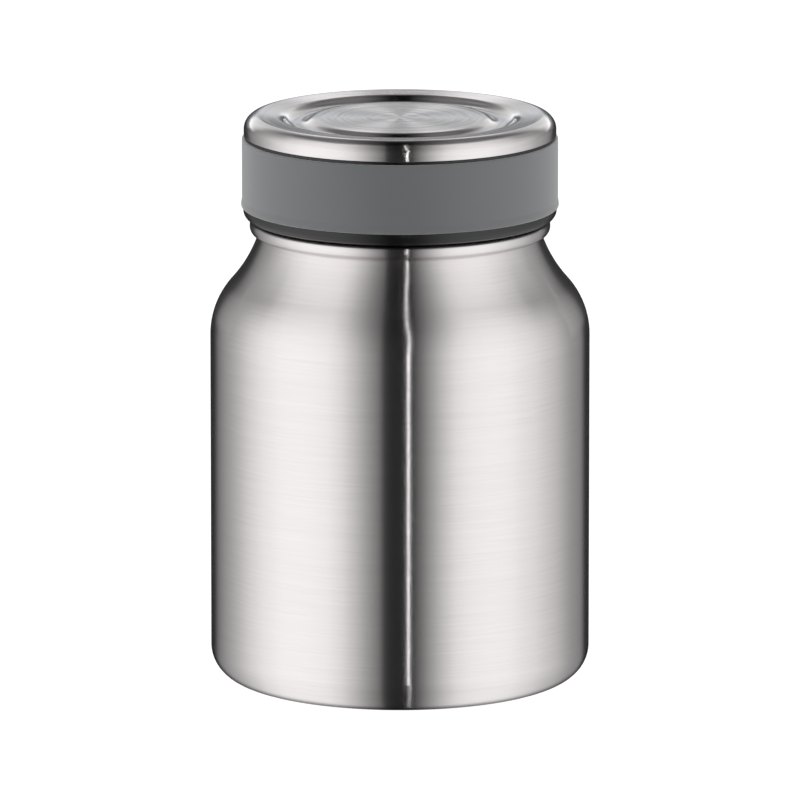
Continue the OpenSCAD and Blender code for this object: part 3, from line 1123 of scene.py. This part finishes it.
@dataclass
class Studio:
    """A white sweep with two tall soft boxes beside the jar, black flags between and above
    them, a thin strip lamp beside the camera, a white card behind, and a small dark screen.

    All but the floor and the screen is the world's light, by direction, so that it stays where
    it is when the jar is seen from another side. Azimuths are in degrees to the right of the
    camera, as a wall that is brushed round the jar shows them; pitch is in degrees from the
    back over the top to the front; aside is the sideways share of a ray, from 0 to 1; height is
    its upward share, from -1 to 1.
    """

    distance_m: float = 3.0
    elevation_deg: float = 11.65
    aim_z_m: float = 0.07009
    lens_mm: float = 541.35
    sensor_mm: float = 36.0
    clip_m: float = 100.0
    floor_m: float = 40.0
    floor_glow: float = 0.9
    floor_colour: str = "#9A9A9A"
    diffuse_gain: float = 1.3
    # Half the strip's width where it is at half its level, its azimuth and its level, by
    # height, and where it ends, in half widths.
    strip_half_deg: tuple[LightStop, ...] = (
        (-1, 0.28), (-0.2, 0.28), (0.1, 0.22), (0.5, 0.14), (1, 0.14),
    )
    strip_lean: tuple[LightStop, ...] = (
        (-1, 5.8), (-0.6, 6.0), (-0.45, 6.0), (-0.3, 5.6), (-0.2, 5.1), (-0.05, 5.0), (0.15, 5.1),
        (0.35, 5.6), (0.55, 6.1), (0.65, 5.6), (0.75, 4.8), (1, 4.3),
    )
    strip_glow: tuple[LightStop, ...] = (
        (-1, 1.8), (-0.25, 1.9), (-0.226, 2.1), (-0.219, 3.7), (-0.211, 7.4), (-0.203, 8.9),
        (-0.1, 9.0), (0.3, 9.0), (0.8, 9.0), (1, 8.0),
    )
    strip_end: float = 2.0
    # The boxes' level by azimuth, how far it falls high up or low down, by azimuth, and
    # between which heights. Below the horizon it falls less.
    boxes: tuple[LightStop, ...] = (
        (-180, 0.05), (-168, 0.04), (-161, 0.03), (-155, 0.06), (-150, 0.13), (-145, 0.24),
        (-140, 0.32), (-120, 0.65), (-100, 1.1), (-85, 1.34), (-70, 1.44), (-50, 1.385),
        (-40, 1.235), (-30, 0.92), (-20, 0.52), (-12, 0.24), (-7.5, 0.05), (0, 0.029),
        (6.5, 0.036), (10, 0.145), (20, 0.56), (30, 0.99), (38, 1.23), (50, 1.36), (60, 1.385),
        (80, 1.235), (100, 0.955), (110, 0.79), (120, 0.59), (130, 0.43), (140, 0.335),
        (145, 0.26), (150, 0.125), (155, 0.05), (161, 0.03), (168, 0.04), (180, 0.05),
    )
    fall: tuple[LightStop, ...] = (
        (0, 0.36), (20, 0.36), (50, 0.17), (70, 0.22), (90, 0.42), (115, 0.8), (180, 0.8),
    )
    fall_height: tuple[float, float] = (0.15, 0.85)
    horizon: float = 0.2
    fall_below: float = 0.35
    # The card's level by pitch, and its factor by the way aside.
    card: tuple[LightStop, ...] = (
        (-16, 0.0), (-10, 0.0), (-4, 0.06), (2, 0.12), (6, 0.2), (9, 0.44), (11.5, 1.14),
        (14, 0.9), (17, 0.76), (20, 0.68), (26, 0.6), (34, 0.34), (50, 0.06), (64, 0.0),
        (90, 0.0),
    )
    card_across: tuple[LightStop, ...] = (
        (0, 0.77), (0.08, 0.97), (0.15, 1.14), (0.25, 1.37), (0.38, 1.5), (0.5, 1.15), (0.6, 0.7),
        (0.75, 0.0), (1, 0.0),
    )
    card_colour: str = "#FFFFFF"
    # The share of the sweep's cool tint by pitch, where it ends aside, and how far behind the
    # jar a ray has to go to meet it.
    sweep_colour: str = "#DEE6EC"
    sweep: tuple[LightStop, ...] = (
        (-12, 0.0), (-6, 1.0), (2, 1.0), (14, 0.0),
    )
    sweep_side: tuple[float, float] = (0.25, 0.55)
    sweep_depth: float = 0.5
    # How far aside the flags reach, by pitch, and how much light passes them.
    flag_level: float = 0.16
    flag_reach: tuple[LightStop, ...] = (
        (-180, -0.2), (-75, -0.2), (-55, 0.2), (-30, 0.3), (-15, 0.3), (-12, -0.1), (-8, -0.2),
        (18, -0.2), (30, 0.1), (40, 0.38), (50, 0.5), (65, 0.55), (75, 0.54), (84, 0.48),
        (91, 0.28), (97, 0.02), (101, -0.2), (180, -0.2),
    )
    flag_fade: float = 0.14
    # The screen's place, and its level by the distance to its middle in metres.
    screen_y_m: float = 0.06
    screen_half_m: float = 0.15
    screen_z_m: tuple[float, float] = (0.085, 0.141)
    screen_glow: tuple[LightStop, ...] = (
        (0, 0.04), (0.06, 0.04), (0.065, 0.05), (0.073, 0.08), (0.083, 0.2), (0.096, 0.32),
        (0.115, 0.42), (0.15, 0.55),
    )

    def build(self) -> None:
        """Lights the studio, lays its floor, and sets up the screen and the camera."""
        scene = bpy.context.scene
        scene.view_settings.view_transform = "Standard"
        scene.world = self.world()
        self.floor()
        self.screen()
        self.camera()
        LOG.info("studio: world, floor, screen and camera")

    def curve(self, tree: NodeTree, at: Any, stops: tuple[LightStop, ...]) -> Node:
        """A value that runs smoothly through the stops.

        Args:
            tree: The node tree of the world or of a material.
            at: The node or socket with the place along the stops.
            stops: The values, from the lowest place to the highest.

        Returns:
            The node with the value.
        """
        places, values = zip(*stops)
        low, high = places[0], places[-1]
        least, most = min(values), max(values)
        spots = [((stop - low) / (high - low), (value - least) / (most - least))
                 for stop, value in stops]
        share = add_node(tree, "MapRange", {"Value": at, "From Min": low, "From Max": high})
        line = add_node(tree, "FloatCurve", {"Value": share})
        points = line.mapping.curves[0].points
        points[0].location, points[1].location = spots[0], spots[-1]
        for spot in spots[1:-1]:
            points.new(*spot)
        line.mapping.update()
        return add_node(tree, "MapRange", {"Value": line, "To Min": least, "To Max": most})

    def world(self) -> bpy.types.World:
        """Makes the world's light.

        Returns:
            The world, white to the camera and through glass, and lit as the studio is for
            gloss and for diffuse light.
        """
        world = bpy.data.worlds.new("studio")
        tree = cleared_tree(world)
        ray = self.ray(tree)
        level = add_node(tree, "Math", {0: self.lamps(ray), 1: self.card_light(ray)},
                         operation="MAXIMUM")
        path = add_node(tree, "LightPath")
        gain = add_node(tree, "MapRange", {
            "Value": path.outputs["Is Glossy Ray"], "To Min": self.diffuse_gain, "To Max": 1.0})
        level = add_node(tree, "Math", {0: level, 1: gain}, operation="MULTIPLY")
        seen = add_node(tree, "Math", {
            0: path.outputs["Is Camera Ray"], 1: path.outputs["Is Transmission Ray"]},
            operation="MAXIMUM")
        strength = add_node(tree, "Mix", {0: seen, 2: level, 3: 1.0}, data_type="FLOAT")
        share = add_node(tree, "Mix", {0: seen, 2: self.sweep_share(ray), 3: 0.0},
                         data_type="FLOAT")
        colour = add_node(tree, "Mix", {
            0: share, 6: linear(self.card_colour), 7: linear(self.sweep_colour)},
            data_type="RGBA")
        background = add_node(tree, "Background", {
            "Color": colour.outputs[2], "Strength": strength})
        add_node(tree, "OutputWorld", {"Surface": background})
        return world

    def ray(self, tree: NodeTree) -> Ray:
        """Works out the direction in which a ray meets the world.

        Args:
            tree: The world's node tree.

        Returns:
            The ray.
        """
        seat = add_node(tree, "TexCoord")
        toward = add_node(tree, "SeparateXYZ", {0: seat.outputs["Generated"]})
        x, y, z = (toward.outputs[axis] for axis in "XYZ")
        aside = add_node(tree, "Math", {0: x}, operation="ABSOLUTE")
        pitch = add_node(tree, "Math", {0: z, 1: y}, operation="ARCTAN2")
        pitch = add_node(tree, "Math", {0: pitch, 1: math.degrees(1)}, operation="MULTIPLY")
        # The wall's normal lies halfway between the ray and the way to the camera.
        depth = add_node(tree, "Math", {0: math.cos(math.radians(self.elevation_deg)), 1: y},
                         operation="SUBTRACT")
        normal = add_node(tree, "Math", {0: x, 1: depth}, operation="ARCTAN2")
        azimuth = add_node(tree, "Math", {0: normal, 1: 2 * math.degrees(1)}, operation="MULTIPLY")
        return Ray(tree, y, z, aside, pitch, azimuth)

    def sweep_share(self, ray: Ray) -> Node:
        """The share of the sweep's tint in the light from low behind the jar.

        Args:
            ray: Where the ray goes.

        Returns:
            The node with the share.
        """
        behind = add_node(ray.tree, "Math", {0: ray.y, 1: self.sweep_depth},
                          operation="GREATER_THAN")
        low = self.curve(ray.tree, ray.pitch, self.sweep)
        low = add_node(ray.tree, "Math", {0: low, 1: behind}, operation="MULTIPLY")
        near, far = self.sweep_side
        middle = add_node(ray.tree, "MapRange", {
            "Value": ray.aside, "From Min": near, "From Max": far, "To Min": 1.0, "To Max": 0.0},
            interpolation_type="SMOOTHSTEP")
        return add_node(ray.tree, "Math", {0: low, 1: middle}, operation="MULTIPLY")

    def lamps(self, ray: Ray) -> Node:
        """The soft boxes and the strip lamp, with the flags in front of them.

        Args:
            ray: Where the ray goes.

        Returns:
            The node with their level.
        """
        reach = self.curve(ray.tree, ray.pitch, self.flag_reach)
        beyond = add_node(ray.tree, "Math", {0: ray.aside, 1: reach}, operation="SUBTRACT")
        open_sky = add_node(ray.tree, "MapRange", {
            "Value": beyond, "From Min": -self.flag_fade, "From Max": self.flag_fade},
            interpolation_type="SMOOTHSTEP")
        passed = add_node(ray.tree, "MapRange", {
            "Value": open_sky, "To Min": self.flag_level, "To Max": 1.0})
        boxes = add_node(ray.tree, "Math", {0: self.box_light(ray), 1: passed},
                         operation="MULTIPLY")
        strip = add_node(ray.tree, "Math", {0: self.strip_light(ray), 1: open_sky},
                         operation="MULTIPLY")
        return add_node(ray.tree, "Math", {0: boxes, 1: strip}, operation="ADD")

    def box_light(self, ray: Ray) -> Node:
        """The soft boxes, which fade high up and low down.

        Args:
            ray: Where the ray goes.

        Returns:
            The node with their level.
        """
        side = add_node(ray.tree, "Math", {0: ray.azimuth}, operation="ABSOLUTE")
        height = add_node(ray.tree, "Math", {0: ray.z}, operation="ABSOLUTE")
        low, high = self.fall_height
        far_up = add_node(ray.tree, "MapRange", {
            "Value": height, "From Min": low, "From Max": high},
            interpolation_type="SMOOTHSTEP")
        share = add_node(ray.tree, "MapRange", {
            "Value": ray.z, "From Min": -self.horizon, "From Max": self.horizon,
            "To Min": self.fall_below, "To Max": 1.0})
        loss = add_node(ray.tree, "Math", {0: far_up, 1: share}, operation="MULTIPLY")
        loss = add_node(ray.tree, "Math", {0: loss, 1: self.curve(ray.tree, side, self.fall)},
                        operation="MULTIPLY")
        kept = add_node(ray.tree, "Math", {0: 1.0, 1: loss}, operation="SUBTRACT")
        level = self.curve(ray.tree, ray.azimuth, self.boxes)
        return add_node(ray.tree, "Math", {0: level, 1: kept}, operation="MULTIPLY")

    def strip_light(self, ray: Ray) -> Node:
        """The strip lamp, a thin upright line that leans a little.

        Args:
            ray: Where the ray goes.

        Returns:
            The node with its level.
        """
        lean, half, glow = (self.curve(ray.tree, ray.z, stops) for stops in (
            self.strip_lean, self.strip_half_deg, self.strip_glow))
        off = add_node(ray.tree, "Math", {0: ray.azimuth, 1: lean}, operation="SUBTRACT")
        off = add_node(ray.tree, "Math", {0: off}, operation="ABSOLUTE")
        off = add_node(ray.tree, "Math", {0: off, 1: half}, operation="DIVIDE")
        strip = add_node(ray.tree, "MapRange", {
            "Value": off, "From Min": 0.0, "From Max": self.strip_end, "To Min": 1.0,
            "To Max": 0.0}, interpolation_type="SMOOTHSTEP")
        return add_node(ray.tree, "Math", {0: strip, 1: glow}, operation="MULTIPLY")

    def card_light(self, ray: Ray) -> Node:
        """The white card behind the jar, which fades towards its edges.

        Args:
            ray: Where the ray goes.

        Returns:
            The node with its level.
        """
        level = self.curve(ray.tree, ray.pitch, self.card)
        across = self.curve(ray.tree, ray.aside, self.card_across)
        return add_node(ray.tree, "Math", {0: level, 1: across}, operation="MULTIPLY")

    def stage_sheet(self, name: str, stuff: str, sheet: Mesh, *passing: str) -> NodeTree:
        """Stages a sheet of the studio.

        Args:
            name: The sheet's name.
            stuff: What it is made of.
            sheet: Its mesh, in metres, which is used up.
            *passing: The kinds of ray that it lets pass.

        Returns:
            The empty node tree of its material.
        """
        mesh = bpy.data.meshes.new(name)
        sheet.to_mesh(mesh)
        sheet.free()
        staged = bpy.data.objects.new(name, mesh)
        bpy.context.scene.collection.objects.link(staged)
        for kind in passing:
            setattr(staged, "visible_" + kind, False)
        material = bpy.data.materials.new(name + "_" + stuff)
        mesh.materials.append(material)
        return cleared_tree(material)

    def show_front(self, tree: NodeTree, front: Node) -> None:
        """Shows a shader on the front of a sheet, which is clear from behind.

        Args:
            tree: The node tree of the sheet's material.
            front: The shader.
        """
        side = add_node(tree, "NewGeometry")
        clear = add_node(tree, "BsdfTransparent")
        mixed = add_node(tree, "MixShader", {0: side.outputs["Backfacing"], 1: front, 2: clear})
        add_node(tree, "OutputMaterial", {"Surface": mixed})

    def floor(self) -> None:
        """Lays the pale floor, which only the camera sees: white, with the jar's soft shadow."""
        sheet = bmesh.new()
        bmesh.ops.create_grid(sheet, x_segments=1, y_segments=1, size=self.floor_m / 2)
        tree = self.stage_sheet("studio_floor", "paint", sheet,
                                "diffuse", "glossy", "transmission", "shadow")
        paint = add_node(tree, "BsdfDiffuse", {"Color": linear(self.floor_colour)})
        glow = add_node(tree, "Emission", {
            "Color": (1.0, 1.0, 1.0, 1.0), "Strength": self.floor_glow})
        self.show_front(tree, add_node(tree, "AddShader", {0: paint, 1: glow}))

    def screen(self) -> None:
        """Sets up a dark screen close behind the jar, below its cap, that only gloss meets.

        It keeps the card's light off the outline of the shoulder, and is darkest in its middle.
        """
        sheet = bmesh.new()
        bmesh.ops.create_grid(sheet, x_segments=1, y_segments=1, size=1.0)
        low, high = self.screen_z_m
        bmesh.ops.scale(sheet, verts=sheet.verts, vec=(self.screen_half_m, (high - low) / 2, 1.0))
        bmesh.ops.rotate(sheet, verts=sheet.verts, cent=(0, 0, 0),
                         matrix=Matrix.Rotation(math.pi / 2, 3, "X"))
        bmesh.ops.translate(sheet, verts=sheet.verts, vec=(0, self.screen_y_m, (low + high) / 2))
        tree = self.stage_sheet("studio_screen", "cloth", sheet,
                                "camera", "diffuse", "transmission", "shadow")
        seat = add_node(tree, "TexCoord")
        axes = add_node(tree, "SeparateXYZ", {0: seat.outputs["Object"]})
        aside = add_node(tree, "Math", {0: axes.outputs["X"]}, operation="ABSOLUTE")
        glow = self.curve(tree, aside, self.screen_glow)
        self.show_front(tree, add_node(tree, "Emission", {"Strength": glow}))

    def camera(self) -> None:
        """Sets up the camera in front of the jar, a little above it."""
        tilt = math.radians(self.elevation_deg)
        data = bpy.data.cameras.new("studio_camera")
        data.lens = self.lens_mm
        data.sensor_width = self.sensor_mm
        data.clip_end = self.clip_m
        camera = bpy.data.objects.new("studio_camera", data)
        camera.location = (0.0, -self.distance_m * math.cos(tilt),
                           self.aim_z_m + self.distance_m * math.sin(tilt))
        camera.rotation_euler = (math.pi / 2 - tilt, 0.0, 0.0)
        bpy.context.scene.collection.objects.link(camera)
        bpy.context.scene.camera = camera


def main() -> None:
    """Builds and dresses the sub-assemblies in order, then the studio."""
    logging.basicConfig(level=logging.INFO, format="%(name)s: %(message)s")
    for assembly in (OuterWall(), Bottom(), FoodVessel(), SealRing(), ScrewCap(), Plug(),
                     SteelCap(), GripBand()):
        assembly.build()
        assembly.dress()
    VacuumParts().dress()
    Studio().build()


if __name__ == "__main__":
    main()
